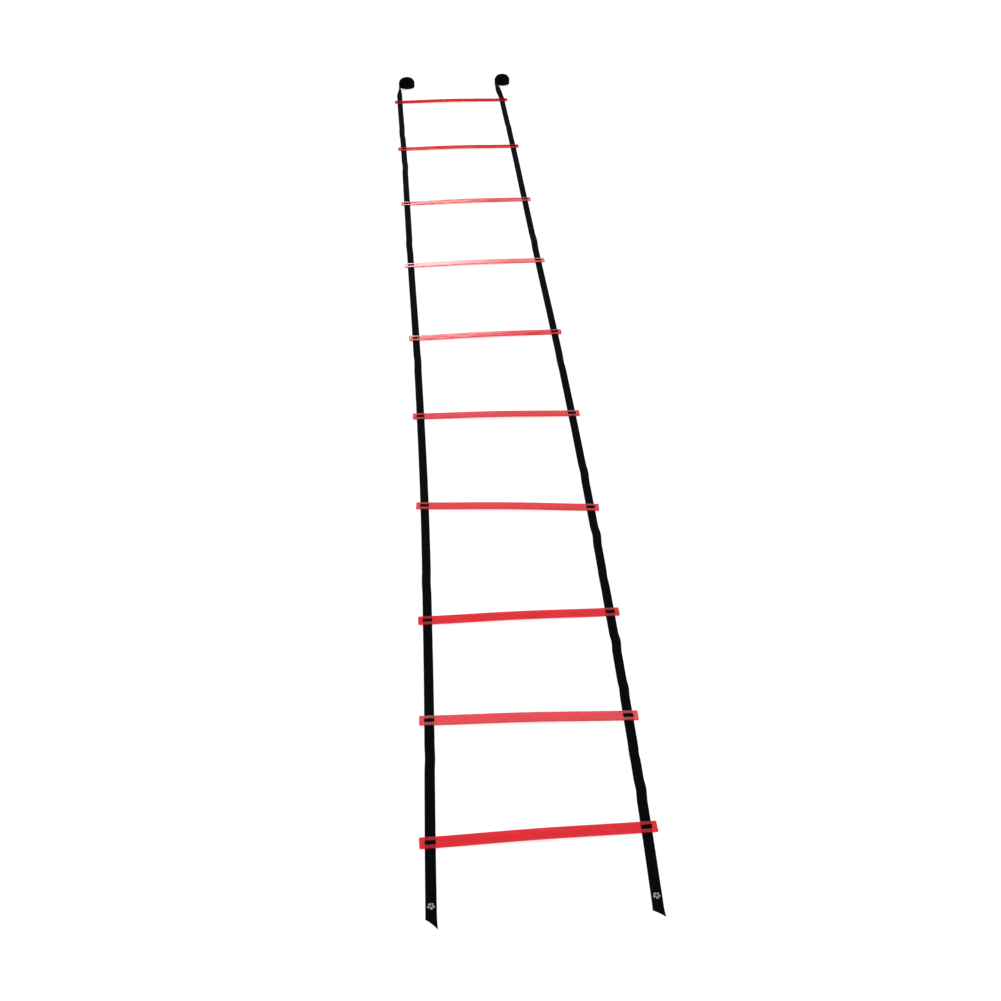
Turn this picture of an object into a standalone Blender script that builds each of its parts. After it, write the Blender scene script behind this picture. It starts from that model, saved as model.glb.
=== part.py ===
"""Agility ladder: flat translucent rungs threaded on two woven straps and laid out on the ground.

Each strap runs under a rung, up through one slot, over the bar between the slots and down through
the other, so a rung can be slid along. The near ends are slanted tails with a press stud, and the
far ends are twisted onto their edge and wound into a coil. Metres, +Z up, +Y along the ladder, with
the origin on the ground in the middle. A section is the stretch of both straps around one rung.
"""

import math

import bmesh
import bpy
from mathutils import Vector

# Rungs
RUNG_LENGTH = 0.435
RUNG_WIDTH = 0.024
RUNG_THICK = 0.003
RUNG_CORNER = 0.002
RUNG_EDGE = 0.0004

# Straps
STRAP_WIDTH = 0.020
STRAP_THICK = 0.001

# The pair of slots at each end of a rung, the bar between them, and the room they leave the strap
SLOT_BAR = 0.004
SLOT_INSET = 0.0085
SLOT_END_ROOM = 0.0015
SLOT_ROOM = 0.0018

# Where a strap goes through a rung: the inside radius of its bends, and its stretch beyond the rung's edges
WEAVE_RADIUS = 0.0008
WEAVE_BEYOND = 0.004

# How each rung lies, from the near end: distance from the rung before it, sideways shift, skew in degrees
RUNG_LIES = (
    (0.000, -0.012, 1.0),
    (0.280, -0.004, -2.0),
    (0.290, 0.002, 0.0),
    (0.375, 0.0075, -4.5),
    (0.380, 0.009, -1.5),
    (0.395, 0.0075, 1.5),
    (0.425, 0.003, 1.5),
    (0.425, 0.000, 1.5),
    (0.435, -0.003, 0.5),
    (0.435, -0.009, 0.5),
)

# Near tails: how far the middle of the cut end lies from the slots, and the slant of the cut
TAIL_END = {"left": (-0.004, -0.166), "right": (-0.0075, -0.179)}
TAIL_SLANT = {"left": 0.020, "right": 0.0135}

# Press studs
STUD_INSET = 0.034
SOCKET_RADIUS = 0.0065
SOCKET_HEIGHT = 0.0020
CAP_RADIUS = 0.0055
CAP_THICK = 0.0008
SHANK_RADIUS = 0.0020
SHANK_CLEARANCE = 0.0004
STUD_RAMP = 0.018

# Far ends: from the last rung's slots to the coil's middle, sideways and along, and the coil itself
COIL_PLACE = {"left": (0.030, 0.160), "right": (0.0135, 0.172)}
COIL_RADIUS = {"left": 0.0315, "right": 0.030}
COIL_HOLE = 0.008
COIL_ROOM = 0.0009
COIL_CLIMB = 0.010
TWIST_START = 0.055
TAIL_HINGE = 0.045

# Gap kept between neighbours that touch, and the height of the fold lines
GAP = 0.0003
FOLD_GAP_ABOVE = 0.003
FOLD_DEPTH_BELOW = 0.002

SIDES = {"left": -1, "right": 1}
ARC_STEPS = 3
RUN_STEPS = 4
ROUND_STEPS = 24
TURN_STEPS = 20

# Worked out from the values above
SLOT_LENGTH = STRAP_WIDTH + SLOT_END_ROOM * 2
SLOT_WIDTH = STRAP_THICK + SLOT_ROOM
SLOT_REACH = RUNG_LENGTH / 2 - SLOT_INSET - SLOT_LENGTH / 2
WEAVE_BEND = WEAVE_RADIUS + STRAP_THICK / 2
WEAVE_HALF = RUNG_WIDTH / 2 + WEAVE_BEYOND
RUNG_Z = STRAP_THICK + GAP
HUMP_TOP = RUNG_Z + RUNG_THICK + GAP + STRAP_THICK
FOLD_ABOVE = HUMP_TOP + FOLD_GAP_ABOVE / 2
STUD_LIFT = CAP_THICK + GAP
LADDER_RUN = sum(lie[0] for lie in RUNG_LIES)
FAR_REACH = max(COIL_PLACE[s][1] + COIL_RADIUS[s] for s in SIDES)
NEAR_REACH = max(-TAIL_END[s][1] + TAIL_SLANT[s] / 2 for s in SIDES)
FIRST_RUNG_Y = -(LADDER_RUN + FAR_REACH - NEAR_REACH) / 2


def clear_scene():
    for obj in list(bpy.data.objects):
        bpy.data.objects.remove(obj, do_unlink=True)


def new_collection(name):
    collection = bpy.data.collections.new(name)
    bpy.context.scene.collection.children.link(collection)
    return collection


def new_material(name, color, roughness, metallic=0.0, transmission=0.0):
    material = bpy.data.materials.new(name)
    material.use_nodes = True
    shader = material.node_tree.nodes["Principled BSDF"]
    shader.inputs["Base Color"].default_value = (*color, 1.0)
    shader.inputs["Roughness"].default_value = roughness
    shader.inputs["Metallic"].default_value = metallic
    shader.inputs["Transmission Weight"].default_value = transmission
    return material


def add_object(name, mesh, collection, material=None):
    obj = bpy.data.objects.new(name, mesh)
    collection.objects.link(obj)
    if material and not mesh.materials:
        mesh.materials.append(material)
    return obj


def keep_place_under(obj, parent):
    bpy.context.view_layer.update()
    obj.parent = parent
    obj.matrix_parent_inverse = parent.matrix_world.inverted()


def evaluated_mesh(obj):
    graph = bpy.context.evaluated_depsgraph_get()
    return bpy.data.meshes.new_from_object(obj.evaluated_get(graph))


# ---- Where the rungs and straps lie ----


def rung_places():
    """(centre x, centre y, skew in radians) of each rung."""
    places = []
    y = FIRST_RUNG_Y
    for distance, shift, skew in RUNG_LIES:
        y += distance
        places.append((shift, y, math.radians(skew)))
    return places


PLACES = rung_places()


def slot_centre(index, side):
    x, y, skew = PLACES[index]
    reach = SIDES[side] * SLOT_REACH
    return Vector((x + reach * math.cos(skew), y + reach * math.sin(skew), 0.0))


def along_rung(index):
    skew = PLACES[index][2]
    return Vector((math.cos(skew), math.sin(skew), 0.0))


def through_rung(index):
    skew = PLACES[index][2]
    return Vector((-math.sin(skew), math.cos(skew), 0.0))


def fold_y(index):
    """The fold line after rung number index: halfway to the next rung, or just past the last one."""
    if index + 1 < len(PLACES):
        return (PLACES[index][1] + PLACES[index + 1][1]) / 2
    return PLACES[index][1] + TAIL_HINGE


def fold_z(index):
    """Folds go over the top and under the bottom by turns."""
    return FOLD_ABOVE if index % 2 == 0 else -FOLD_DEPTH_BELOW


def hermite(start, slope_a, end, slope_b, y):
    """x at y on the smooth curve between two points (x, y), with the given dx/dy at each."""
    length = end[1] - start[1]
    t = (y - start[1]) / length
    a = (1 + 2 * t) * (1 - t) ** 2 * start[0] + t * (1 - t) ** 2 * slope_a * length
    b = t * t * (3 - 2 * t) * end[0] + t * t * (t - 1) * slope_b * length
    return a + b


def smoothstep(t):
    t = min(max(t, 0.0), 1.0)
    return t * t * (3 - 2 * t)


def chord_slope(index, side):
    """dx/dy of the straight line from a rung's slots to the next rung's."""
    step = slot_centre(index + 1, side) - slot_centre(index, side)
    return step.x / step.y


def strap_slope(index, side):
    """dx/dy of a strap at a rung. It runs through in line with its neighbours, whatever the rung's own skew."""
    before = chord_slope(index - 1, side) if index else TAIL_END[side][0] / TAIL_END[side][1]
    after = chord_slope(index, side) if index + 1 < len(PLACES) else 0.0
    return (before + after) / 2


def weave_point(index, side, s):
    """The strap's middle at a distance s from the rung's middle line, square to the rung."""
    shear = math.tan(math.atan(strap_slope(index, side)) + PLACES[index][2])
    return slot_centre(index, side) + (through_rung(index) + along_rung(index) * shear) * s


def bay_x(index, side, y):
    """x of a strap's middle between rung number index and the next one, or on to the coil."""
    start = weave_point(index, side, WEAVE_HALF)
    slope_a = strap_slope(index, side)
    if index + 1 < len(PLACES):
        end = weave_point(index + 1, side, -WEAVE_HALF)
        slope_b = strap_slope(index + 1, side)
    else:
        end = coil_centre(side) - Vector((COIL_RADIUS[side] - STRAP_THICK / 2, 0.0, 0.0))
        slope_b = 0.0
    return hermite(start, slope_a, end, slope_b, y)


def coil_centre(side):
    across, along = COIL_PLACE[side]
    return slot_centre(len(PLACES) - 1, side) + Vector((across, along, 0.0))


def tail_x(side, y):
    """x of a near tail's middle at y."""
    start = weave_point(0, side, -WEAVE_HALF)
    across, along = TAIL_END[side]
    end = slot_centre(0, side) + Vector((across, along, 0.0))
    return hermite(end, across / along, start, strap_slope(0, side), y)


def stud_place(side):
    y = slot_centre(0, side).y + TAIL_END[side][1] + STUD_INSET
    return Vector((tail_x(side, y), y, 0.0))


# ---- Strips of strap, as rows of (middle, direction across) ----


def weave_profile():
    """(distance along, height) of the strap's middle surface through a rung's two slots."""
    slot = SLOT_BAR / 2 + SLOT_WIDTH / 2
    low = STRAP_THICK / 2
    high = HUMP_TOP - STRAP_THICK / 2
    rise = []
    for step in range(ARC_STEPS + 1):
        turn = math.radians(90 * step / ARC_STEPS - 90)
        rise.append((-slot - WEAVE_BEND + WEAVE_BEND * math.cos(turn), low + WEAVE_BEND * (1 + math.sin(turn))))
    for step in range(ARC_STEPS + 1):
        turn = math.radians(180 - 90 * step / ARC_STEPS)
        rise.append((-slot + WEAVE_BEND + WEAVE_BEND * math.cos(turn), high - WEAVE_BEND * (1 - math.sin(turn))))
    fall = [(-s, z) for s, z in reversed(rise)]
    return [(-WEAVE_HALF, low), *rise, *fall, (WEAVE_HALF, low)]


def weave_rows(index, side):
    lifted = [(weave_point(index, side, s), z) for s, z in weave_profile()]
    return [(middle + Vector((0.0, 0.0, z)), along_rung(index)) for middle, z in lifted]


def run_rows(index, side, y_from, y_to, bay):
    """Flat rows between a rung's weave and a fold line, which is where the turn across dies out."""
    rows = []
    skew = PLACES[index][2]
    for step in range(RUN_STEPS):
        t = step / RUN_STEPS
        y = y_from + (y_to - y_from) * t
        near = 1 - t if bay == index else t
        turn = skew * smoothstep(near)
        across = Vector((math.cos(turn), math.sin(turn), 0.0))
        rows.append((Vector((bay_x(bay, side, y), y, STRAP_THICK / 2)), across))
    return rows


def before_rows(index, side):
    """From the fold line before a rung up to its weave."""
    y_from = fold_y(index - 1) + GAP / 2
    y_to = weave_point(index, side, -WEAVE_HALF).y
    return run_rows(index, side, y_from, y_to, index - 1)


def after_rows(index, side):
    """From a rung's weave to the fold line after it."""
    y_from = weave_point(index, side, WEAVE_HALF).y
    y_to = fold_y(index) - GAP / 2
    rows = run_rows(index, side, y_from, y_to, index)[1:]
    last = Vector((bay_x(index, side, y_to), y_to, STRAP_THICK / 2))
    return [*rows, (last, Vector((1.0, 0.0, 0.0)))]


def tail_rows(side):
    """From the slanted cut, over the stud's cap, up to the first rung's weave."""
    start_y = weave_point(0, side, -WEAVE_HALF).y
    end_y = slot_centre(0, side).y + TAIL_END[side][1]
    stud_y = stud_place(side).y
    slant = TAIL_SLANT[side]
    cut = (Vector((tail_x(side, end_y), end_y, STRAP_THICK / 2)), Vector((1.0, -slant / STRAP_WIDTH, 0.0)))
    flat = CAP_RADIUS + STRAP_THICK
    ramp = [flat + STUD_RAMP * t for t in (1.0, 0.75, 0.5, 0.25, 0.0)]
    stops = [stud_y - d for d in ramp] + [stud_y + d for d in reversed(ramp)]
    lifts = [STUD_LIFT * smoothstep((flat + STUD_RAMP - abs(y - stud_y)) / STUD_RAMP) for y in stops]
    stops += [(stops[-1] + start_y) / 2]
    lifts += [0.0]
    rows = [
        (Vector((tail_x(side, y), y, STRAP_THICK / 2 + lift)), Vector((1.0, 0.0, 0.0)))
        for y, lift in zip(stops, lifts)
    ]
    return [cut, *rows]


def lead_rows(side):
    """From the last fold line to the coil, twisting from flat onto the strap's edge."""
    last = len(PLACES) - 1
    y_from = fold_y(last) + GAP / 2
    y_to = coil_centre(side).y
    twist_from = slot_centre(last, side).y + TWIST_START
    rows = []
    steps = RUN_STEPS * 4
    for step in range(steps + 1):
        y = y_from + (y_to - y_from) * step / steps
        turn = math.radians(90) * smoothstep((y - twist_from) / (y_to - STRAP_WIDTH - twist_from))
        lift = STRAP_WIDTH / 2 * math.sin(turn) + STRAP_THICK / 2 * math.cos(turn)
        across = Vector((math.cos(turn), 0.0, math.sin(turn)))
        rows.append((Vector((bay_x(last, side, y), y, lift)), across))
    return rows


def coil_rows(side):
    """From the lead's end, clockwise and inwards on the strap's edge, with the inner turns a little higher."""
    centre = coil_centre(side)
    outer = COIL_RADIUS[side] - STRAP_THICK / 2
    inner = COIL_HOLE + STRAP_THICK / 2
    turns = (outer - inner) / (STRAP_THICK + COIL_ROOM)
    steps = round(turns * TURN_STEPS)
    rows = []
    for step in range(steps + 1):
        turn = math.radians(180 - 360 * step / TURN_STEPS) - GAP / outer
        radius = outer + (inner - outer) * step / steps
        height = STRAP_WIDTH / 2 + COIL_CLIMB * step / steps
        middle = Vector((radius * math.cos(turn), radius * math.sin(turn), height))
        rows.append((centre + middle, Vector((0.0, 0.0, 1.0))))
    return rows


def add_strip(name, rows, collection, material):
    """A strip of strap: a grid with one row of points for each row given, thickened to both sides."""
    mesh = bpy.data.meshes.new(name)
    shape = bmesh.new()
    bmesh.ops.create_grid(shape, x_segments=1, y_segments=len(rows) - 1, size=0.5)
    for point in shape.verts:
        middle, across = rows[round((point.co.y + 0.5) * (len(rows) - 1))]
        point.co = middle + across * (STRAP_WIDTH / 2 if point.co.x > 0 else -STRAP_WIDTH / 2)
    bmesh.ops.recalc_face_normals(shape, faces=shape.faces)
    for face in shape.faces:
        face.smooth = True
    for edge in shape.edges:
        edge.smooth = not edge.is_boundary
    shape.to_mesh(mesh)
    shape.free()
    obj = add_object(name, mesh, collection, material)
    thicken = obj.modifiers.new("strap_thickness", "SOLIDIFY")
    thicken.thickness = STRAP_THICK
    thicken.offset = 0.0
    thicken.use_even_offset = True
    return obj


# ---- Rungs and studs ----


def add_box(name, size, centre, collection):
    mesh = bpy.data.meshes.new(name)
    shape = bmesh.new()
    bmesh.ops.create_cube(shape, size=1.0)
    bmesh.ops.scale(shape, vec=size, verts=shape.verts)
    bmesh.ops.translate(shape, vec=centre, verts=shape.verts)
    shape.to_mesh(mesh)
    shape.free()
    return add_object(name, mesh, collection)


def add_cutter(name, size, centre, collection):
    cutter = add_box(name, size, centre, collection)
    cutter.hide_render = True
    cutter.display_type = "WIRE"
    return cutter


def cut(obj, cutter):
    modifier = obj.modifiers.new(cutter.name, "BOOLEAN")
    modifier.operation = "DIFFERENCE"
    modifier.object = cutter


def rung_mesh(cutters):
    """A flat bar with rounded corners, eased edges and a pair of slots at each end."""
    bar = add_box("rung_blank", (RUNG_LENGTH, RUNG_WIDTH, RUNG_THICK), (0, 0, RUNG_THICK / 2), cutters)
    shape = bmesh.new()
    shape.from_mesh(bar.data)
    upright = [e for e in shape.edges if abs(e.verts[0].co.z - e.verts[1].co.z) > RUNG_THICK / 2]
    bmesh.ops.bevel(shape, geom=upright, offset=RUNG_CORNER, segments=3, profile=0.5, affect="EDGES")
    shape.to_mesh(bar.data)
    shape.free()
    ease = bar.modifiers.new("eased_edges", "BEVEL")
    ease.width = RUNG_EDGE
    ease.segments = 1
    ease.limit_method = "ANGLE"
    ease.angle_limit = math.radians(60)
    tools = []
    for side, sign in SIDES.items():
        for place in (-1, 1):
            centre = (sign * SLOT_REACH, place * (SLOT_BAR + SLOT_WIDTH) / 2, RUNG_THICK / 2)
            size = (SLOT_LENGTH, SLOT_WIDTH, RUNG_THICK * 3)
            tools.append(add_cutter(f"slot_cutter_{side}_{place}", size, centre, cutters))
            cut(bar, tools[-1])
    mesh = evaluated_mesh(bar)
    for obj in (bar, *tools):
        bpy.data.objects.remove(obj, do_unlink=True)
    return mesh


def add_turned(name, profile, centre, steps, collection, material):
    """A closed profile of (radius, height) points, turned about the upright axis through centre."""
    mesh = bpy.data.meshes.new(name)
    shape = bmesh.new()
    points = [shape.verts.new((radius, 0.0, height)) for radius, height in profile]
    for a, b in zip(points, points[1:] + points[:1]):
        if a.co.x > 0 or b.co.x > 0:
            shape.edges.new((a, b))
    shape.to_mesh(mesh)
    shape.free()
    obj = add_object(name, mesh, collection, material)
    obj.location = centre
    screw = obj.modifiers.new("turned", "SCREW")
    screw.steps = steps
    screw.render_steps = steps
    screw.use_merge_vertices = True
    screw.merge_threshold = 0.00001
    screw.use_smooth_shade = False
    return obj


def socket_profile():
    """The socket's rounded ring, open in the middle, standing on the strap."""
    bore = SHANK_RADIUS + SHANK_CLEARANCE
    base = STUD_LIFT + STRAP_THICK + GAP
    top = base + SOCKET_HEIGHT
    edge = SOCKET_HEIGHT / 4
    return [
        (bore, top - edge),
        (bore + edge, top),
        (SOCKET_RADIUS - edge * 2, top),
        (SOCKET_RADIUS, top - edge * 2),
        (SOCKET_RADIUS, base),
        (bore, base),
    ]


def cap_profile():
    """The cap's flat disc on the ground, with the shank that goes up through strap and socket."""
    shank_top = STUD_LIFT + STRAP_THICK + GAP + SOCKET_HEIGHT / 2
    return [
        (0.0, shank_top),
        (SHANK_RADIUS, shank_top),
        (SHANK_RADIUS, CAP_THICK),
        (CAP_RADIUS, CAP_THICK),
        (CAP_RADIUS, 0.0),
        (0.0, 0.0),
    ]


# ---- Assembly ----


def add_fold_empties(collection):
    """One empty on each fold line, each under the one before, so that the ladder folds as a chain."""
    empties = []
    for index in range(len(PLACES)):
        empty = bpy.data.objects.new(f"fold_line_{index + 1:02d}", None)
        collection.objects.link(empty)
        empty.empty_display_size = STRAP_WIDTH
        empty.location = (0.0, fold_y(index), fold_z(index))
        if empties:
            keep_place_under(empty, empties[-1])
        empties.append(empty)
    return empties


def build():
    clear_scene()
    parts = new_collection("agility_ladder")
    cutters = new_collection("cutters")
    webbing = new_material("black_webbing", (0.006, 0.007, 0.009), 0.85)
    plastic = new_material("red_plastic", (0.78, 0.02, 0.04), 0.25, transmission=0.5)
    metal = new_material("bright_metal", (0.72, 0.72, 0.73), 0.3, metallic=1.0)
    folds = add_fold_empties(parts)

    blank = rung_mesh(cutters)
    for index, (x, y, skew) in enumerate(PLACES):
        rung = add_object(f"rung_{index + 1:02d}", blank, parts, plastic)
        rung.location = (x, y, RUNG_Z)
        rung.rotation_euler = (0.0, 0.0, skew)
        if index:
            keep_place_under(rung, folds[index - 1])

    for side in SIDES:
        for index in range(len(PLACES)):
            start = before_rows(index, side) if index else tail_rows(side)
            rows = [*start, *weave_rows(index, side), *after_rows(index, side)]
            strap = add_strip(f"strap_{side}_{index + 1:02d}", rows, parts, webbing)
            if index:
                keep_place_under(strap, folds[index - 1])
            else:
                hole = SHANK_RADIUS + SHANK_CLEARANCE
                drill = [(0.0, STUD_LIFT * 4), (hole, STUD_LIFT * 4), (hole, -STUD_LIFT), (0.0, -STUD_LIFT)]
                bit = add_turned(f"stud_hole_{side}", drill, stud_place(side), ROUND_STEPS, cutters, None)
                bit.hide_render = True
                bit.display_type = "WIRE"
                cut(strap, bit)
        socket = add_turned(f"stud_socket_{side}", socket_profile(), stud_place(side), ROUND_STEPS, parts, metal)
        cap = add_turned(f"stud_cap_{side}", cap_profile(), stud_place(side), ROUND_STEPS, parts, metal)
        for obj in (socket, cap):
            obj.data.shade_smooth()
        lead = add_strip(f"lead_{side}", lead_rows(side), parts, webbing)
        coil = add_strip(f"coil_{side}", coil_rows(side), parts, webbing)
        for obj in (lead, coil):
            keep_place_under(obj, folds[-1])


build()
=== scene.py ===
"""Agility ladder on a pale floor: woven straps through translucent rungs, with snap tails and coiled ends.

Metres, +Z up, +Y along the ladder from the cut tails to the coils. Rungs are counted from the near end.
"""

import math

import bmesh
import bpy
import numpy as np
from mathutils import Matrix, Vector


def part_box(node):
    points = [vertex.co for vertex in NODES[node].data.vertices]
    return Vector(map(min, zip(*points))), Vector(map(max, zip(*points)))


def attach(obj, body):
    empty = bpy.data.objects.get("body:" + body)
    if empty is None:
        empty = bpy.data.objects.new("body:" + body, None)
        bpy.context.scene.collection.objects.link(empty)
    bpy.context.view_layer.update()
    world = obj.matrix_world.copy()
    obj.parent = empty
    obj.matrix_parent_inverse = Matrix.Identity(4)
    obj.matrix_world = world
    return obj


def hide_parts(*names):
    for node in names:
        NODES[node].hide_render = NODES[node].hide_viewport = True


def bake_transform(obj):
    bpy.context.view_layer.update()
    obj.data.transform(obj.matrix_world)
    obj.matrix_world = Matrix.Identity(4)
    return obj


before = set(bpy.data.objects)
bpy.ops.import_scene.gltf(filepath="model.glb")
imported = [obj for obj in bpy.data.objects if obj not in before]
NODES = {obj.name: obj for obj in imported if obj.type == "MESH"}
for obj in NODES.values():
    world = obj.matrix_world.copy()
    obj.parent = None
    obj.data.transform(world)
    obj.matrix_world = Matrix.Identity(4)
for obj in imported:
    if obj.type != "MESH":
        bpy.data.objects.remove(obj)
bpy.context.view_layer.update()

SIDES = {"left": -1, "right": 1}

# Rungs
RUNG_COUNT = 10
RUNG_LENGTH = 0.435
RUNG_WIDTH = 0.024
RUNG_THICK = 0.003
RUNG_REST = 0.0013
RUNG_CORNER = 0.002
RUNG_EDGE = 0.00045
RUNG_BOW = 0.0025
RUNG_BOW_REACH = 0.186
SLOT_REACH = 0.1975
SLOT_LENGTH = 0.0209
SLOT_WIDTH = 0.0028
SLOT_BAR = 0.004

# Straps
STRAP_WIDTH = 0.020
STRAP_THICK = 0.001
STRAP_EDGE = 0.00032
STRAP_STEP = 0.004
SHORT_STEP = 0.003
LEAD_STEP = 0.0025
FOLD_STEP = 0.0006
WEAVE_BEND = 0.0013
WEAVE_REACH = 0.0039
WEAVE_HALF = 0.016
HUMP_TOP = 0.0056
ARC_STEPS = 5
RIPPLE_FOLD_FADE = 0.03
RIPPLE_RUNG_FADE = 0.02

# Fold lines: half the strap that turns round an even and an odd one, and how far the last is past its rung
FOLD_HALVES = (0.008, 0.006)
LAST_FOLD = 0.045

# Near tails and their press studs
TAIL_END = {"left": (-0.004, -0.166), "right": (-0.0075, -0.179)}
TAIL_SLANT = {"left": 0.020, "right": 0.0135}
TAIL_CUT = {"left": 30, "right": 34}
STUD_INSET = 0.034
STUD_LIFT = 0.0011
STUD_FLAT = 0.0065
STUD_RAMP = 0.018
PETALS = 5

# Coiled far ends
COIL_PLACE = {"left": (0.030, 0.160), "right": (0.0135, 0.172)}
COIL_RADIUS = {"left": 0.0315, "right": 0.030}
COIL_HOLE = 0.008
COIL_PITCH = 0.0019
COIL_CLIMB = 0.015
TURN_STEPS = 40
TWIST_START = 0.052
TWIST_EVEN = 0.55


# ---- Modelling helpers ----


def clear_selection():
    if bpy.context.object and bpy.context.object.mode != "OBJECT":
        bpy.ops.object.mode_set(mode="OBJECT")
    bpy.ops.object.select_all(action="DESELECT")


def make_active(obj):
    clear_selection()
    obj.select_set(True)
    bpy.context.view_layer.objects.active = obj


def apply_modifiers(obj):
    make_active(obj)
    for modifier in list(obj.modifiers):
        bpy.ops.object.modifier_apply(modifier=modifier.name)


def place_in_mesh(obj):
    """Puts the object's place and turn into its mesh, so that the object sits at the origin."""
    make_active(obj)
    bpy.ops.object.transform_apply(location=True, rotation=True, scale=True)


def own_copy(obj, name):
    copy = obj.copy()
    copy.data = obj.data.copy()
    copy.name = name
    copy.data.name = name
    bpy.context.scene.collection.objects.link(copy)
    return copy


def pick(obj, kind, wanted):
    """Opens edit mode with only the points, edges or faces that wanted says yes to selected."""
    make_active(obj)
    bpy.context.tool_settings.mesh_select_mode = (kind == "VERT", kind == "EDGE", kind == "FACE")
    bpy.ops.object.mode_set(mode="EDIT")
    bpy.ops.mesh.select_all(action="DESELECT")
    shape = bmesh.from_edit_mesh(obj.data)
    for item in {"VERT": shape.verts, "EDGE": shape.edges, "FACE": shape.faces}[kind]:
        if wanted(item):
            item.select_set(True)
    bmesh.update_edit_mesh(obj.data)


def upright(edge):
    a, b = edge.verts
    return abs(a.co.z - b.co.z) > 0.001


def face_outwards(obj):
    """Turns a closed body's faces round if they look inwards."""
    shape = bmesh.new()
    shape.from_mesh(obj.data)
    inwards = shape.calc_volume(signed=True) < 0
    shape.free()
    if inwards:
        make_active(obj)
        bpy.ops.object.mode_set(mode="EDIT")
        bpy.ops.mesh.select_all(action="SELECT")
        bpy.ops.mesh.flip_normals()
        bpy.ops.object.mode_set(mode="OBJECT")


def smooth_by_angle(obj, degrees):
    make_active(obj)
    bpy.ops.object.shade_smooth_by_angle(angle=math.radians(degrees))


def even_shading(obj, degrees):
    """Smooth shading in which the large faces stay flat and only the eased edges turn."""
    smooth_by_angle(obj, degrees)
    weigh = obj.modifiers.new("even_shading", "WEIGHTED_NORMAL")
    weigh.mode = "FACE_AREA"
    weigh.weight = 100
    weigh.keep_sharp = True
    apply_modifiers(obj)


def smoothstep(t):
    t = min(max(t, 0.0), 1.0)
    return t * t * (3 - 2 * t)


# ---- Where the rungs and straps lie ----


def rung_place(index):
    """(x, y, skew in radians) of a rung, from its solid."""
    name = f"rung_{index + 1:02d}"
    low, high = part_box(name)
    points = np.array([v.co[:2] for v in NODES[name].data.vertices])
    spread = np.cov((points - points.mean(axis=0)).T)
    along = np.linalg.eigh(spread)[1][:, -1]
    along = along * np.sign(along[0])
    centre = (low + high) / 2
    return centre.x, centre.y, math.atan2(along[1], along[0])


PLACES = [rung_place(index) for index in range(RUNG_COUNT)]
LAST = RUNG_COUNT - 1


def along_rung(index):
    skew = PLACES[index][2]
    return Vector((math.cos(skew), math.sin(skew), 0.0))


def through_rung(index):
    skew = PLACES[index][2]
    return Vector((-math.sin(skew), math.cos(skew), 0.0))


def slot_centre(index, side):
    x, y, skew = PLACES[index]
    reach = SIDES[side] * SLOT_REACH
    return Vector((x + reach * math.cos(skew), y + reach * math.sin(skew), 0.0))


def fold_y(index):
    if index < LAST:
        return (PLACES[index][1] + PLACES[index + 1][1]) / 2
    return PLACES[index][1] + LAST_FOLD


def fold_half(index):
    return FOLD_HALVES[index % 2]


def coil_centre(side):
    across, along = COIL_PLACE[side]
    return slot_centre(LAST, side) + Vector((across, along, 0.0))


def hermite(start, slope_a, end, slope_b, y):
    length = end[1] - start[1]
    t = (y - start[1]) / length
    a = (1 + 2 * t) * (1 - t) ** 2 * start[0] + t * (1 - t) ** 2 * slope_a * length
    b = t * t * (3 - 2 * t) * end[0] + t * t * (t - 1) * slope_b * length
    return a + b


def chord_slope(index, side):
    """dx/dy of the straight line from a rung's slots to the next rung's slots."""
    step = slot_centre(index + 1, side) - slot_centre(index, side)
    return step.x / step.y


def strap_slope(index, side):
    """dx/dy of a strap at a rung. It runs in line with its neighbours, whatever the rung's own skew."""
    before = chord_slope(index - 1, side) if index else TAIL_END[side][0] / TAIL_END[side][1]
    after = chord_slope(index, side) if index < LAST else 0.0
    return (before + after) / 2


def weave_point(index, side, s):
    """The strap's middle at a distance s from the rung's middle line, square to the rung."""
    shear = math.tan(math.atan(strap_slope(index, side)) + PLACES[index][2])
    return slot_centre(index, side) + (through_rung(index) + along_rung(index) * shear) * s


def bay_x(index, side, y):
    """x of a strap's middle between rung number index and the next one, or on to the coil."""
    start = weave_point(index, side, WEAVE_HALF)
    slope_a = strap_slope(index, side)
    if index < LAST:
        end = weave_point(index + 1, side, -WEAVE_HALF)
        slope_b = strap_slope(index + 1, side)
    else:
        end = coil_centre(side) - Vector((COIL_RADIUS[side] - STRAP_THICK / 2, 0.0, 0.0))
        slope_b = 0.0
    return hermite(start, slope_a, end, slope_b, y)


def tail_x(side, y):
    start = weave_point(0, side, -WEAVE_HALF)
    across, along = TAIL_END[side]
    end = slot_centre(0, side) + Vector((across, along, 0.0))
    return hermite(end, across / along, start, strap_slope(0, side), y)


def stud_place(side):
    y = slot_centre(0, side).y + TAIL_END[side][1] + STUD_INSET
    return Vector((tail_x(side, y), y, 0.0))


# ---- Rows of strap: each row is a middle point and a direction across ----

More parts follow.
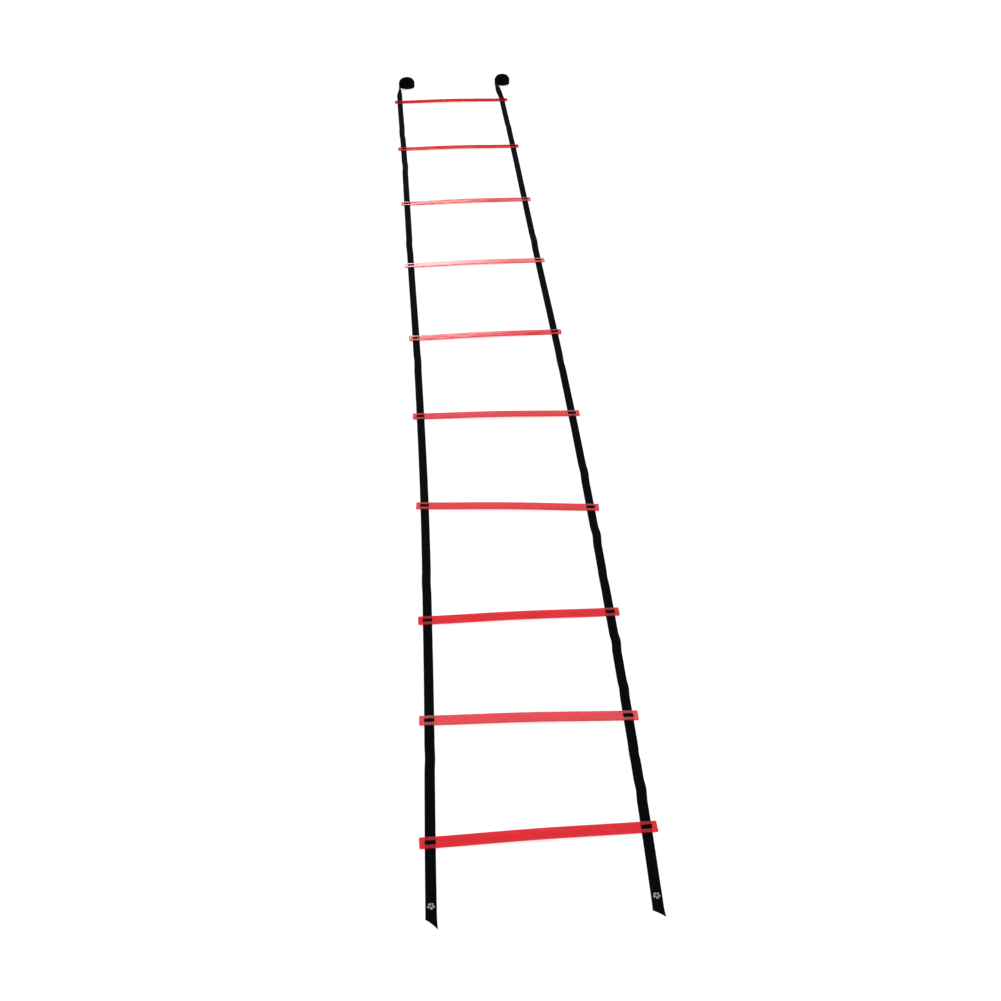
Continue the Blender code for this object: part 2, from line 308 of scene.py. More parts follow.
# Ripples where a strap doesn't lie quite flat:
# (side, bay, share of the bay's length, half length, roll in degrees, sideways shift)
RIPPLES = (
    ("right", 0, 0.30, 0.030, 9.0, 0.0012),
    ("right", 0, 0.66, 0.026, -8.0, -0.0010),
    ("right", 1, 0.22, 0.026, 8.0, 0.0010),
    ("right", 1, 0.72, 0.030, 12.0, 0.0016),
    ("right", 2, 0.30, 0.034, -8.0, -0.0010),
    ("right", 2, 0.74, 0.036, 12.0, 0.0018),
    ("right", 3, 0.34, 0.040, 8.0, 0.0012),
    ("right", 4, 0.62, 0.050, -7.0, -0.0012),
    ("right", 6, 0.30, 0.050, 6.0, 0.0012),
    ("right", 8, 0.40, 0.060, -7.0, 0.0010),
    ("left", 0, 0.70, 0.036, 5.0, 0.0008),
    ("left", 2, 0.30, 0.045, -5.0, -0.0008),
    ("left", 4, 0.70, 0.050, 6.0, 0.0010),
    ("left", 6, 0.30, 0.055, -6.0, -0.0014),
    ("left", 7, 0.68, 0.055, 8.0, 0.0016),
    ("left", 8, 0.30, 0.060, -8.0, -0.0016),
)


def ripple(side, bay, y):
    """(roll in radians, sideways shift) of a strap in a bay at y."""
    start = weave_point(bay, side, WEAVE_HALF).y
    end = weave_point(bay + 1, side, -WEAVE_HALF).y
    fade = min(1.0, (abs(y - fold_y(bay)) - fold_half(bay)) / RIPPLE_FOLD_FADE)
    roll = 0.0
    shift = 0.0
    for where, number, share, half, degrees, sideways in RIPPLES:
        if where == side and number == bay:
            near = 1 - abs(y - (start + (end - start) * share)) / half
            roll += math.radians(degrees) * smoothstep(near)
            shift += sideways * smoothstep(near)
    by_rung = smoothstep((y - start) / RIPPLE_RUNG_FADE) * smoothstep((end - y) / RIPPLE_RUNG_FADE)
    fade = smoothstep(fade) * by_rung
    return roll * fade, shift * fade


def rolled_row(x, y, turn, roll, lift=0.0):
    """A row turned about the upright and rolled about the strap's run, resting on its lower edge."""
    across = Vector((math.cos(turn) * math.cos(roll), math.sin(turn) * math.cos(roll), math.sin(roll)))
    height = STRAP_THICK / 2 * math.cos(roll) + STRAP_WIDTH / 2 * abs(math.sin(roll)) + lift
    return Vector((x, y, height)), across


def stretch(start, end, step=STRAP_STEP):
    """Even steps from start to end, none of them longer than step."""
    count = max(2, math.ceil((end - start) / step))
    return [start + (end - start) * i / count for i in range(count + 1)]


def bay_rows(index, side, y_from, y_to, bay):
    """Rows in a bay, whose turn across follows rung number index and dies out at the fold line."""
    rows = []
    skew = PLACES[index][2]
    weave_y = slot_centre(index, side).y
    for y in stretch(y_from, y_to):
        near = 1 - (abs(y - weave_y) - WEAVE_HALF) / (abs(fold_y(bay) - weave_y) - WEAVE_HALF)
        roll, shift = ripple(side, bay, y)
        rows.append(rolled_row(bay_x(bay, side, y) + shift, y, skew * smoothstep(near), roll))
    return rows


def weave_rows(index, side):
    """Through the rung's two slots: up, over the bar and down, square to the rung."""
    low = STRAP_THICK / 2
    high = HUMP_TOP - STRAP_THICK / 2
    rise = [(-WEAVE_HALF + 0.003 * i, low) for i in range(1, 4)]
    for step in range(ARC_STEPS + 1):
        turn = math.radians(90 * step / ARC_STEPS - 90)
        s = -WEAVE_REACH - WEAVE_BEND + WEAVE_BEND * math.cos(turn)
        rise.append((s, low + WEAVE_BEND * (1 + math.sin(turn))))
    for step in range(ARC_STEPS + 1):
        turn = math.radians(180 - 90 * step / ARC_STEPS)
        s = -WEAVE_REACH + WEAVE_BEND + WEAVE_BEND * math.cos(turn)
        rise.append((s, high - WEAVE_BEND * (1 - math.sin(turn))))
    profile = rise + [(-s, z) for s, z in reversed(rise)]
    return [(weave_point(index, side, s) + Vector((0, 0, z)), along_rung(index)) for s, z in profile]


def before_rows(index, side):
    y_from = fold_y(index - 1) + fold_half(index - 1)
    y_to = weave_point(index, side, -WEAVE_HALF).y
    return bay_rows(index, side, y_from, y_to, index - 1)


def after_rows(index, side):
    y_from = weave_point(index, side, WEAVE_HALF).y
    y_to = fold_y(index) - fold_half(index)
    if index < LAST:
        return bay_rows(index, side, y_from, y_to, index)
    rows = []
    for y in stretch(y_from, y_to, SHORT_STEP):
        near = 1 - (y - y_from) / (fold_y(index) - y_from)
        rows.append(rolled_row(bay_x(index, side, y), y, PLACES[index][2] * smoothstep(near), 0.0))
    return rows


def fold_rows(index, side):
    """The short stretch that turns round a fold line."""
    rows = []
    half = fold_half(index)
    first = fold_y(index) - half
    for y in stretch(first, first + 2 * half, FOLD_STEP):
        own = index if y < fold_y(index) or index == LAST else index + 1
        weave_y = slot_centre(own, side).y
        near = 1 - (abs(y - weave_y) - WEAVE_HALF) / (abs(fold_y(index) - weave_y) - WEAVE_HALF)
        turn = PLACES[own][2] * smoothstep(near) if near > 0 else 0.0
        rows.append(rolled_row(bay_x(index, side, y), y, turn, 0.0))
    return rows


def stud_lift(side, y):
    return STUD_LIFT * smoothstep((STUD_FLAT + STUD_RAMP - abs(y - stud_place(side).y)) / STUD_RAMP)


def tail_rows(side):
    """From the slanted cut, over the stud, up to the first rung's weave."""
    end_y = slot_centre(0, side).y + TAIL_END[side][1]
    start_y = weave_point(0, side, -WEAVE_HALF).y
    rows = []
    for y in stretch(end_y, start_y, SHORT_STEP):
        turn = PLACES[0][2] * smoothstep(1 - (start_y - y) / 0.05)
        rows.append(rolled_row(tail_x(side, y), y, turn, 0.0, stud_lift(side, y)))
    return rows


def lead_rows(side):
    """From the last fold to the coil, twisting from flat onto the strap's edge."""
    y_from = fold_y(LAST) + fold_half(LAST)
    y_to = coil_centre(side).y
    twist_from = slot_centre(LAST, side).y + TWIST_START
    rows = []
    for y in stretch(y_from, y_to, LEAD_STEP):
        share = min(max((y - twist_from) / (y_to - STRAP_WIDTH - twist_from), 0.0), 1.0)
        turn = math.radians(90) * (TWIST_EVEN * share + (1 - TWIST_EVEN) * smoothstep(share))
        lift = STRAP_WIDTH / 2 * math.sin(turn) + STRAP_THICK / 2 * math.cos(turn)
        rows.append((Vector((bay_x(LAST, side, y), y, lift)), Vector((math.cos(turn), 0, math.sin(turn)))))
    return rows


def coil_rows(side):
    """Clockwise and inwards on the strap's edge, with the inner turns pushed up into a low dome."""
    centre = coil_centre(side)
    outer = COIL_RADIUS[side] - STRAP_THICK / 2
    inner = COIL_HOLE + STRAP_THICK / 2
    turns = (outer - inner) / COIL_PITCH
    steps = round(turns * TURN_STEPS)
    rng = np.random.default_rng(7 if side == "left" else 11)
    nod = rng.normal(0, 1, 64)
    nod_steps = 40
    rows = []
    for step in range(steps + 1):
        share = step / steps
        angle = math.pi - 2 * math.pi * share * turns
        radius = outer + (inner - outer) * share
        wobble = 0.00016 * math.sin(angle * 2.0 + nod[3]) + 0.0001 * math.sin(angle * 3.37 + nod[5])
        fade = smoothstep(share * turns * 1.5)
        at = share * nod_steps
        k = int(at)
        lift = 0.0005 * (nod[k] + (nod[k + 1] - nod[k]) * smoothstep(at - k)) * fade
        middle = Vector((math.cos(angle), math.sin(angle), 0)) * (radius + wobble * fade)
        climb = COIL_CLIMB * (1 - (1 - share) ** 3)
        middle.z = STRAP_WIDTH / 2 + climb + max(lift, -climb)
        rows.append((centre + middle, Vector((0, 0, 1))))
    return rows


# ---- Strips of strap ----

STRIP_COLUMNS = 6


def lay_strip(name, rows, run_from, slant=0.0):
    """A strip of webbing through the rows, with eased long edges. Its map is in metres: across, and along."""
    clear_selection()
    bpy.ops.mesh.primitive_grid_add(x_subdivisions=STRIP_COLUMNS, y_subdivisions=len(rows) - 1, size=1.0)
    obj = bpy.context.object
    obj.name = name
    mesh = obj.data
    mesh.name = name
    wide = STRIP_COLUMNS + 1
    place = np.empty((len(mesh.vertices), 3))
    where = np.empty((len(mesh.vertices), 2))
    runs = [run_from]
    for a, b in zip(rows, rows[1:]):
        runs.append(runs[-1] + (b[0] - a[0]).length)
    for number in range(len(mesh.vertices)):
        row, column = divmod(number, wide)
        middle, across = rows[row]
        u = (column / STRIP_COLUMNS - 0.5) * STRAP_WIDTH
        place[number] = middle + across * u
        where[number] = (u, runs[row])
    if slant:
        cut_tail(place, where, wide, slant)
    mesh.vertices.foreach_set("co", place.ravel())
    layer = mesh.uv_layers[0]
    layer.name = "strap_run"
    corner = np.empty(len(mesh.loops), int)
    mesh.loops.foreach_get("vertex_index", corner)
    layer.uv.foreach_set("vector", where[corner].ravel())
    mesh.update()

    count = len(mesh.vertices)
    thicken = obj.modifiers.new("strap_thickness", "SOLIDIFY")
    thicken.thickness = STRAP_THICK
    thicken.offset = 0.0
    thicken.use_even_offset = True
    apply_modifiers(obj)

    def long_edge(edge):
        a, b = (v.index % count for v in edge.verts)
        return abs(a - b) == wide and a % wide in (0, STRIP_COLUMNS)

    pick(obj, "EDGE", long_edge)
    bpy.ops.mesh.bevel(offset=STRAP_EDGE, segments=2, affect="EDGES")
    bpy.ops.object.mode_set(mode="OBJECT")
    smooth_by_angle(obj, 50)
    obj.data.materials.clear()
    obj.data.materials.append(WEBBING)
    return obj, runs[-1]


def cut_tail(place, where, wide, slant):
    """Draws the first rows out to a slanted cut with a little curve, ending in a point."""
    for number in range(len(place)):
        row, column = divmod(number, wide)
        t = column / STRIP_COLUMNS
        reach = max(0.0, 1 - row / 7)
        out = slant * (0.5 - t) + slant * 0.10 * math.sin(math.pi * t)
        place[number][1] += out * reach
        where[number][1] += out * reach
        tip = max(0.0, 2 * t - 1) ** 2 * reach ** 3
        place[number][0] += 0.0014 * tip
        place[number][1] -= 0.0006 * tip


# ---- Materials ----


def new_material(name):
    material = bpy.data.materials.new(name)
    material.use_nodes = True
    tree = material.node_tree
    return material, tree, tree.nodes["Principled BSDF"]


def new_group(name, inputs, outputs):
    """A shader node group with the given (name, type, value) inputs and (name, type) outputs."""
    group = bpy.data.node_groups.new(name, "ShaderNodeTree")
    for label, kind, value in inputs:
        socket = group.interface.new_socket(name=label, in_out="INPUT", socket_type=kind)
        if value is not None:
            socket.default_value = value
    for label, kind in outputs:
        group.interface.new_socket(name=label, in_out="OUTPUT", socket_type=kind)
    return group, group.nodes.new("NodeGroupInput"), group.nodes.new("NodeGroupOutput")


def maths(tree, operation, a, b=None):
    node = tree.nodes.new("ShaderNodeMath")
    node.operation = operation
    for socket, value in zip(node.inputs, (a, b)):
        if isinstance(value, (int, float)):
            socket.default_value = value
        elif value is not None:
            tree.links.new(value, socket)
    return node.outputs[0]


def map_range(tree, value, low, high, to_low, to_high):
    node = tree.nodes.new("ShaderNodeMapRange")
    tree.links.new(value, node.inputs["Value"])
    node.inputs["From Min"].default_value = low
    node.inputs["From Max"].default_value = high
    node.inputs["To Min"].default_value = to_low
    node.inputs["To Max"].default_value = to_high
    return node.outputs["Result"]


def noise(tree, vector, scale, detail=2.0, roughness=0.5):
    node = tree.nodes.new("ShaderNodeTexNoise")
    tree.links.new(vector, node.inputs["Vector"])
    node.inputs["Scale"].default_value = scale
    node.inputs["Detail"].default_value = detail
    node.inputs["Roughness"].default_value = roughness
    return node.outputs["Fac"]


def mix_colour(tree, factor, a, b):
    node = tree.nodes.new("ShaderNodeMix")
    node.data_type = "RGBA"
    tree.links.new(factor, node.inputs["Factor"])
    for socket, value in ((node.inputs[6], a), (node.inputs[7], b)):
        if isinstance(value, tuple):
            socket.default_value = (*value, 1.0)
        else:
            tree.links.new(value, socket)
    return node.outputs[2]


def webbing_weave():
    """Two columns of slanting ribs that meet in a V down the middle, between plain bound edges."""
    tree, given, result = new_group(
        "webbing_weave",
        [("Run", "NodeSocketVector", None), ("Rib Length", "NodeSocketFloat", 0.0021)],
        [("Height", "NodeSocketFloat"), ("Rib", "NodeSocketFloat"), ("Edge", "NodeSocketFloat")],
    )
    split = tree.nodes.new("ShaderNodeSeparateXYZ")
    tree.links.new(given.outputs["Run"], split.inputs[0])
    u, v = split.outputs[0], split.outputs[1]
    out = maths(tree, "ABSOLUTE", u)
    slope = maths(tree, "MULTIPLY", out, 0.75)
    ribs = maths(tree, "DIVIDE", maths(tree, "ADD", v, slope), given.outputs["Rib Length"])
    rib = maths(tree, "ABSOLUTE", maths(tree, "SINE", maths(tree, "MULTIPLY", ribs, math.pi)))
    yarns = maths(tree, "MULTIPLY", u, math.pi / 0.00105)
    yarn = maths(tree, "ABSOLUTE", maths(tree, "SINE", yarns))
    edge = map_range(tree, out, 0.0086, 0.0090, 0.0, 1.0)
    bound = maths(tree, "ABSOLUTE", maths(tree, "SINE", maths(tree, "MULTIPLY", v, math.pi / 0.0011)))
    body = maths(tree, "ADD", maths(tree, "MULTIPLY", rib, 0.65), maths(tree, "MULTIPLY", yarn, 0.35))
    body = maths(tree, "MULTIPLY", body, maths(tree, "SUBTRACT", 1.0, edge))
    rim = maths(tree, "MULTIPLY", maths(tree, "MULTIPLY", bound, 0.8), edge)
    tree.links.new(maths(tree, "ADD", body, rim), result.inputs["Height"])
    tree.links.new(rib, result.inputs["Rib"])
    tree.links.new(edge, result.inputs["Edge"])
    return tree


def webbing_material():
    material, tree, shader = new_material("black_polypropylene_webbing")
    run = tree.nodes.new("ShaderNodeUVMap")
    run.uv_map = "strap_run"
    weave = tree.nodes.new("ShaderNodeGroup")
    weave.node_tree = webbing_weave()
    tree.links.new(run.outputs["UV"], weave.inputs["Run"])
    place = tree.nodes.new("ShaderNodeTexCoord").outputs["Object"]
    fuzz = noise(tree, place, 900.0, 3.0, 0.6)
    patch = noise(tree, place, 18.0, 3.0, 0.55)
    lit = maths(tree, "MULTIPLY", weave.outputs["Height"], maths(tree, "ADD", 0.55, fuzz))
    thread = mix_colour(tree, lit, (0.0002, 0.0005, 0.0008), (0.0014, 0.0030, 0.0044))
    worn = mix_colour(tree, map_range(tree, patch, 0.45, 0.75, 0.0, 0.5), thread, (0.0022, 0.0038, 0.0052))
    tree.links.new(worn, shader.inputs["Base Color"])
    tree.links.new(map_range(tree, weave.outputs["Rib"], 0.0, 1.0, 0.82, 0.58), shader.inputs["Roughness"])
    shader.inputs["Specular IOR Level"].default_value = 0.015
    shader.inputs["Sheen Weight"].default_value = 0.006
    shader.inputs["Sheen Roughness"].default_value = 0.5
    bump = tree.nodes.new("ShaderNodeBump")
    bump.inputs["Strength"].default_value = 0.85
    bump.inputs["Distance"].default_value = 0.00028
    fine = maths(tree, "ADD", weave.outputs["Height"], maths(tree, "MULTIPLY", fuzz, 0.22))
    tree.links.new(fine, bump.inputs["Height"])
    tree.links.new(bump.outputs["Normal"], shader.inputs["Normal"])
    return material


def moulded_wear():
    """Slow cloudiness, faint lengthwise flow lines, a fine moulded grain and rare scuffs."""
    tree, given, result = new_group(
        "moulded_wear",
        [("Place", "NodeSocketVector", None), ("Grain Size", "NodeSocketFloat", 700.0)],
        [(name, "NodeSocketFloat") for name in ("Cloud", "Flow", "Ripple", "Grain", "Scuff")],
    )
    cloud = noise(tree, given.outputs["Place"], 14.0, 3.0)
    drawn = tree.nodes.new("ShaderNodeMapping")
    drawn.inputs["Scale"].default_value = (6.0, 260.0, 60.0)
    tree.links.new(given.outputs["Place"], drawn.inputs["Vector"])
    flow = noise(tree, drawn.outputs["Vector"], 1.0, 2.0)
    grain = tree.nodes.new("ShaderNodeTexNoise")
    tree.links.new(given.outputs["Place"], grain.inputs["Vector"])
    tree.links.new(given.outputs["Grain Size"], grain.inputs["Scale"])
    grain.inputs["Detail"].default_value = 2.0
    scratch = tree.nodes.new("ShaderNodeMapping")
    scratch.inputs["Rotation"].default_value = (0.0, 0.0, 0.5)
    scratch.inputs["Scale"].default_value = (40.0, 900.0, 200.0)
    tree.links.new(given.outputs["Place"], scratch.inputs["Vector"])
    scuff = map_range(tree, noise(tree, scratch.outputs["Vector"], 1.0, 1.0), 0.74, 0.80, 0.0, 0.6)
    pulled = tree.nodes.new("ShaderNodeMapping")
    pulled.inputs["Scale"].default_value = (22.0, 75.0, 22.0)
    tree.links.new(given.outputs["Place"], pulled.inputs["Vector"])
    ripples = noise(tree, pulled.outputs["Vector"], 1.0, 1.5)
    tree.links.new(cloud, result.inputs["Cloud"])
    tree.links.new(ripples, result.inputs["Ripple"])
    tree.links.new(flow, result.inputs["Flow"])
    tree.links.new(grain.outputs["Fac"], result.inputs["Grain"])
    tree.links.new(scuff, result.inputs["Scuff"])
    return tree


def rung_material():
    material, tree, shader = new_material("translucent_red_plastic")
    place = tree.nodes.new("ShaderNodeTexCoord").outputs["Object"]
    wear = tree.nodes.new("ShaderNodeGroup")
    wear.node_tree = moulded_wear()
    tree.links.new(place, wear.inputs["Place"])
    clouds = maths(tree, "MULTIPLY", wear.outputs["Cloud"], 0.6)
    streaks = maths(tree, "MULTIPLY", wear.outputs["Flow"], 0.4)
    depth = map_range(tree, maths(tree, "ADD", clouds, streaks), 0.3, 0.7, 0.0, 1.0)
    clear = mix_colour(tree, depth, (0.84, 0.022, 0.040), (0.92, 0.036, 0.056))
    tree.links.new(clear, shader.inputs["Base Color"])
    polish = map_range(tree, wear.outputs["Flow"], 0.3, 0.7, 0.06, 0.11)
    scuffed = maths(tree, "ADD", polish, maths(tree, "MULTIPLY", wear.outputs["Scuff"], 0.18))
    tree.links.new(scuffed, shader.inputs["Roughness"])
    shader.inputs["IOR"].default_value = 1.5
    shader.inputs["Transmission Weight"].default_value = 0.7
    bump = tree.nodes.new("ShaderNodeBump")
    bump.inputs["Strength"].default_value = 0.35
    bump.inputs["Distance"].default_value = 0.00012
    ripples = maths(tree, "MULTIPLY", wear.outputs["Ripple"], 5.0)
    height = maths(tree, "ADD", ripples, maths(tree, "MULTIPLY", wear.outputs["Grain"], 0.35))
    scored = maths(tree, "SUBTRACT", height, maths(tree, "MULTIPLY", wear.outputs["Scuff"], 0.5))
    tree.links.new(scored, bump.inputs["Height"])
    tree.links.new(bump.outputs["Normal"], shader.inputs["Normal"])
    return material


def metal_material(name, colour, roughness):
    material, tree, shader = new_material(name)
    place = tree.nodes.new("ShaderNodeTexCoord").outputs["Object"]
    dull = noise(tree, place, 420.0, 3.0, 0.6)
    shade = mix_colour(tree, dull, tuple(c * 0.72 for c in colour), colour)
    tree.links.new(shade, shader.inputs["Base Color"])
    spread = map_range(tree, dull, 0.3, 0.7, roughness * 0.8, roughness * 1.4)
    tree.links.new(spread, shader.inputs["Roughness"])
    shader.inputs["Metallic"].default_value = 1.0
    bump = tree.nodes.new("ShaderNodeBump")
    bump.inputs["Strength"].default_value = 0.2
    bump.inputs["Distance"].default_value = 0.00005
    tree.links.new(dull, bump.inputs["Height"])
    tree.links.new(bump.outputs["Normal"], shader.inputs["Normal"])
    return material


WEBBING = webbing_material()
RED_PLASTIC = rung_material()
SNAP_METAL = metal_material("plated_snap", (0.52, 0.53, 0.55), 0.26)
# Near-black metal for the stud's spring and cap: its dark colour is painted shade in the socket's hollow
# middle.
DARK_SNAP_METAL_PAINTED_SHADE = metal_material("snap_metal_painted_shade", (0.09, 0.09, 0.095), 0.40)


# ---- Rungs ----


def rung_blank():
    """One rung along X about the origin: an eased bar, bowed up in its middle, with two slots at each end."""
    clear_selection()
    bpy.ops.mesh.primitive_grid_add(x_subdivisions=60, y_subdivisions=1, size=1.0)
    bar = bpy.context.object
    bpy.ops.transform.resize(value=(RUNG_LENGTH, RUNG_WIDTH, 1.0))
    place_in_mesh(bar)
    corner = RUNG_LENGTH / 2 + RUNG_WIDTH / 2 - 0.001
    pick(bar, "VERT", lambda v: abs(v.co.x) + abs(v.co.y) > corner)
    bpy.ops.mesh.bevel(offset=RUNG_CORNER, segments=5, affect="VERTICES")
    bpy.ops.mesh.select_all(action="SELECT")
    bpy.ops.mesh.extrude_region_move(TRANSFORM_OT_translate={"value": (0, 0, RUNG_THICK)})
    bpy.ops.object.mode_set(mode="OBJECT")
    face_outwards(bar)
    for side in SIDES.values():
        for place in (-1, 1):
            cut_slot(bar, side * SLOT_REACH, place * (SLOT_BAR + SLOT_WIDTH) / 2)
    ease = bar.modifiers.new("eased_edges", "BEVEL")
    ease.width = RUNG_EDGE
    ease.segments = 3
    ease.limit_method = "ANGLE"
    ease.angle_limit = math.radians(50)
    apply_modifiers(bar)
    face_outwards(bar)
    for point in bar.data.vertices:
        t = min(1.0, abs(point.co.x) / RUNG_BOW_REACH)
        point.co.z += RUNG_BOW * (1 - t * t) ** 2
    even_shading(bar, 60)
    return bar


def cut_slot(bar, x, y):
    clear_selection()
    size = (SLOT_LENGTH, SLOT_WIDTH, RUNG_THICK * 3)
    bpy.ops.mesh.primitive_cube_add(size=1.0, location=(x, y, RUNG_THICK / 2), scale=size)
    tool = bpy.context.object
    place_in_mesh(tool)
    pick(tool, "EDGE", upright)
    bpy.ops.mesh.bevel(offset=SLOT_WIDTH * 0.3, segments=3, affect="EDGES")
    bpy.ops.object.mode_set(mode="OBJECT")
    hole = bar.modifiers.new("slot", "BOOLEAN")
    hole.operation = "DIFFERENCE"
    hole.object = tool
    apply_modifiers(bar)
    bpy.data.objects.remove(tool, do_unlink=True)


def add_rungs():
    blank = rung_blank()
    for index, (x, y, skew) in enumerate(PLACES):
        name = f"rung_{index + 1:02d}"
        rung = own_copy(blank, f"red_{name}")
        rung.location = (x, y, RUNG_REST)
        rung.rotation_euler = (0, 0, skew)
        place_in_mesh(rung)
        rung.data.materials.clear()
        rung.data.materials.append(RED_PLASTIC)
        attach(rung, name)
        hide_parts(name)
    bpy.data.objects.remove(blank, do_unlink=True)


# ---- Press studs ----


def turned(name, profile, steps, material):
    """A closed ring or disc, spun from a profile of (radius, height) points."""
    clear_selection()
    bpy.ops.mesh.primitive_plane_add(size=0.001)
    obj = bpy.context.object
    obj.name = name
    obj.data.name = name
    bpy.ops.object.mode_set(mode="EDIT")
    shape = bmesh.from_edit_mesh(obj.data)
    bmesh.ops.delete(shape, geom=list(shape.verts), context="VERTS")
    points = [shape.verts.new((radius, 0.0, height)) for radius, height in profile]
    for a, b in zip(points, points[1:] + points[:1]):
        if a.co.x > 1e-7 or b.co.x > 1e-7:
            shape.edges.new((a, b))
    bmesh.update_edit_mesh(obj.data)
    bpy.ops.mesh.select_all(action="SELECT")
    bpy.ops.mesh.spin(steps=steps, angle=2 * math.pi, center=(0, 0, 0), axis=(0, 0, 1))
    bpy.ops.mesh.select_all(action="SELECT")
    bpy.ops.mesh.remove_doubles(threshold=0.000005)
    bpy.ops.mesh.normals_make_consistent(inside=False)
    bpy.ops.object.mode_set(mode="OBJECT")
    obj.data.materials.clear()
    obj.data.materials.append(material)
    return obj


def arc(centre, radius, start, end, steps):
    """(radius, height) points round part of a circle, angles in degrees."""
    points = []
    for step in range(steps + 1):
        angle = math.radians(start + (end - start) * step / steps)
        points.append((centre[0] + radius * math.cos(angle), centre[1] + radius * math.sin(angle)))
    return points


def add_studs(side):
    """A press stud: a socket ring cut into five petals, its spring, and the cap under the strap. The spring
    and the cap's post are near-black metal, which is painted shade for the socket's hollow middle.
    """
    centre = stud_place(side)
    strap_top = STUD_LIFT + STRAP_THICK
    base = strap_top + 0.00005
    rim = arc((0.0056, base + 0.0008), 0.0008, 0, 90, 5)
    dish = [(0.0048, base + 0.00155), (0.0043, base + 0.0013), (0.0037, base + 0.00125)]
    collar = arc((0.0031, base + 0.0016), 0.0004, 0, 180, 6)
    ring = [(0.0064, base)] + rim + dish + collar + [(0.0027, base)]
    socket = turned(f"snap_socket_{side}", ring, 60, SNAP_METAL)
    for number in range(PETALS):
        notch_ring(socket, 2 * math.pi * number / PETALS + math.radians(20), base)
    # The spring and the cap's post sit in the socket's hollow middle, and their near-black metal paints its
    # shade.
    wire = arc((0.0023, base + 0.0009), 0.00035, 0, 330, 11)
    spring = turned(f"snap_metal_painted_shade_{side}", wire, 40, DARK_SNAP_METAL_PAINTED_SHADE)
    post = [(0.0, strap_top + 0.0006), (0.0012, strap_top + 0.00055)]
    post += arc((0.0014, strap_top + 0.00025), 0.0003, 80, 0, 3)
    plate = [(0.0017, 0.0009), (0.0050, 0.0008)] + arc((0.0051, 0.0004), 0.0004, 80, -80, 5) + [(0.0, 0.0)]
    cap = turned(f"snap_cap_{side}", post + plate, 48, DARK_SNAP_METAL_PAINTED_SHADE)
    for obj, node in ((socket, f"stud_socket_{side}"), (spring, None), (cap, f"stud_cap_{side}")):
        obj.location = centre
        place_in_mesh(obj)
        smooth_by_angle(obj, 35)
        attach(obj, "section_01")
        if node:
            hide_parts(node)


def notch_ring(socket, angle, base):
    """One of the gaps between the ring's petals, where a prong is folded down."""
    clear_selection()
    middle = (0.0056 * math.cos(angle), 0.0056 * math.sin(angle), base + 0.0008)
    size = (0.0038, 0.0027, 0.0040)
    bpy.ops.mesh.primitive_cube_add(size=1.0, location=middle, rotation=(0, 0, angle), scale=size)
    tool = bpy.context.object
    place_in_mesh(tool)
    gap = socket.modifiers.new("prong_gap", "BOOLEAN")
    gap.operation = "DIFFERENCE"
    gap.object = tool
    apply_modifiers(socket)
    bpy.data.objects.remove(tool, do_unlink=True)


# ---- Straps ----


def add_strap(side):
    run = 0.0
    for index in range(RUNG_COUNT):
        number = f"{index + 1:02d}"
        section, rung = f"section_{number}", f"rung_{number}"
        node = f"strap_{side}_{number}"
        weave = weave_rows(index, side)
        half = len(weave) // 2
        if index == 0:
            tail = tail_rows(side)
            cut = TAIL_CUT[side]
            free, run = lay_strip(f"strap_{side}_tail", tail[: cut + 1], run, slant=TAIL_SLANT[side])
            drill_strip(free, side)
            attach(free, section)
            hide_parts(node)
            before = tail[cut:]
        else:
            before = before_rows(index, side)
        rows = before + weave[: half + 1]
        strip, run = lay_strip(f"strap_{side}_{number}_up", rows, run)
        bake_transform(strip)
        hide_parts(node)

        after = after_rows(index, side)
        rows = weave[half:] + after
        strip, run = lay_strip(f"strap_{side}_{number}_down", rows, run)
        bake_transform(strip)
        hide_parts(node)

        rows = fold_rows(index, side)
        strip, run = lay_strip(f"strap_{side}_{number}_fold", rows, run)
        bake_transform(strip)
        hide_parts(node)

    for part, rows, held in (("lead", lead_rows(side), "laid"), ("coil", coil_rows(side), "folded")):
        strip, run = lay_strip(f"strap_{side}_{part}", rows, run)
        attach(strip, f"far_end_{side}")
        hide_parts(f"{part}_{side}")


def drill_strip(strip, side):
    """The hole that the stud's shank goes through."""
    clear_selection()
    place = stud_place(side)
    place.z = STRAP_THICK
    bpy.ops.mesh.primitive_cylinder_add(vertices=24, radius=0.0019, depth=0.01, location=place)
    tool = bpy.context.object
    place_in_mesh(tool)
    hole = strip.modifiers.new("stud_hole", "BOOLEAN")
    hole.operation = "DIFFERENCE"
    hole.object = tool
    apply_modifiers(strip)
    bpy.data.objects.remove(tool, do_unlink=True)


# ---- Floor, light and camera ----


def add_floor():
    clear_selection()
    bpy.ops.mesh.primitive_plane_add(size=60.0, location=(0, 0, -0.0004))
    floor = bpy.context.object
    floor.name = "pale_floor"
    place_in_mesh(floor)
    material, tree, shader = new_material("pale_floor")
    place = tree.nodes.new("ShaderNodeTexCoord").outputs["Object"]
    tint = mix_colour(tree, noise(tree, place, 2.0), (0.60, 0.60, 0.60), (0.62, 0.62, 0.62))
    tree.links.new(tint, shader.inputs["Base Color"])
    shader.inputs["Roughness"].default_value = 0.9
    shader.inputs["Specular IOR Level"].default_value = 0.0
    shader.inputs["Emission Color"].default_value = (1.0, 1.0, 1.0, 1.0)
    shader.inputs["Emission Strength"].default_value = 0.56
    floor.data.materials.append(material)


# What the rungs mirror beyond the far end, from the floor up: (degrees, brightness). The rest is white.
STUDIO_BANDS = (
    (0, 1.0), (13, 1.0), (17, 0.0), (23.0, 0.0), (24.4, 0.15), (25.4, 1.1), (26.6, 4.6), (28, 8.2),
    (30, 7.0), (32, 2.6), (33.5, 0.9), (40.5, 0.95), (43, 0.3), (45, 0.3), (47.5, 1.6), (50, 1.5),
    (52, 0.3), (59, 0.3), (64, 1.0), (90, 1.0),
)
BAND_PEAK = 8.2
RAMP_TOP = 90


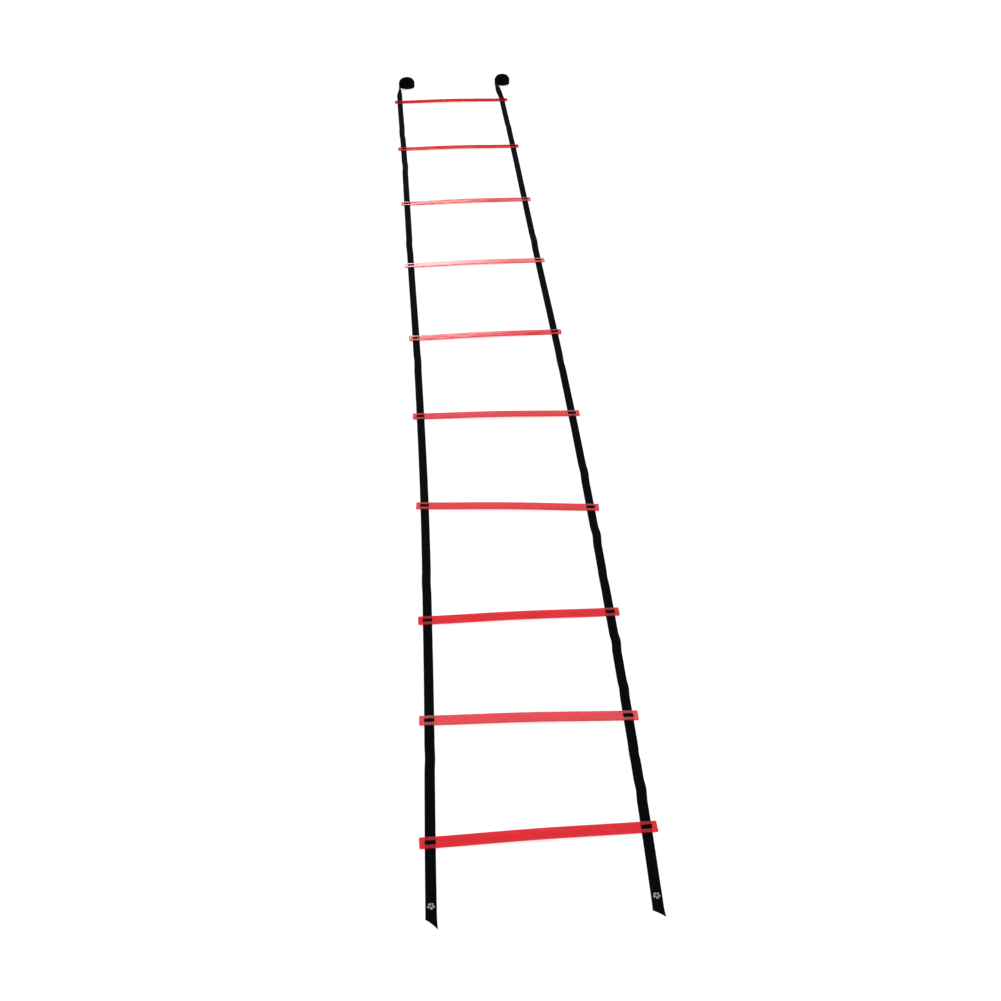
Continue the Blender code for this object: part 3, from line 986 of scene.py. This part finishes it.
def add_light():
    """A white studio, with soft boxes and dark gaps beyond the far end. The low box dims to the right."""
    world = bpy.data.worlds.new("soft_studio")
    bpy.context.scene.world = world
    world.use_nodes = True
    tree = world.node_tree
    split = tree.nodes.new("ShaderNodeSeparateXYZ")
    tree.links.new(tree.nodes.new("ShaderNodeTexCoord").outputs["Generated"], split.inputs[0])
    angle = maths(tree, "ARCTAN2", split.outputs[2], split.outputs[1])
    share = map_range(tree, angle, 0.0, math.radians(RAMP_TOP), 0.0, 1.0)
    ramp = tree.nodes.new("ShaderNodeValToRGB")
    tree.links.new(share, ramp.inputs["Fac"])
    stops = ramp.color_ramp.elements
    stops[1].position = 1.0
    for degrees, brightness in STUDIO_BANDS:
        if degrees == 0:
            stop = stops[0]
        elif degrees == RAMP_TOP:
            stop = stops[len(stops) - 1]
        else:
            stop = stops.new(degrees / RAMP_TOP)
        grey = brightness / BAND_PEAK
        stop.color = (grey, grey, grey, 1.0)
    beside = maths(tree, "DIVIDE", split.outputs[0], split.outputs[1])
    loss = map_range(tree, beside, 0.02, 0.14, 0.0, 0.85)
    low_box = map_range(tree, share, 33 / RAMP_TOP, 34 / RAMP_TOP, 1.0, 0.0)
    kept = maths(tree, "SUBTRACT", 1.0, maths(tree, "MULTIPLY", loss, low_box))
    full = maths(tree, "MULTIPLY", ramp.outputs["Color"], BAND_PEAK)
    bands = maths(tree, "MULTIPLY", full, kept)
    aside = map_range(tree, maths(tree, "ABSOLUTE", beside), 0.42, 0.58, 0.0, 1.0)
    to_white = maths(tree, "MULTIPLY", aside, maths(tree, "SUBTRACT", 1.0, bands))
    back = tree.nodes["Background"]
    back.inputs["Color"].default_value = (1.0, 1.0, 1.0, 1.0)
    tree.links.new(maths(tree, "ADD", bands, to_white), back.inputs["Strength"])
    bpy.context.scene.view_settings.view_transform = "Standard"


def add_camera():
    data = bpy.data.cameras.new("camera")
    data.sensor_width = 36.0
    data.lens = 46.75
    camera = bpy.data.objects.new("camera", data)
    bpy.context.scene.collection.objects.link(camera)
    camera.location = (-0.2121, -3.1741, 1.9523)
    camera.rotation_euler = [math.radians(a) for a in (51.184, -0.549, -4.398)]
    bpy.context.scene.camera = camera


add_camera()
add_light()
add_floor()
add_rungs()
for strap_side in SIDES:
    add_studs(strap_side)
    add_strap(strap_side)
clear_selection()
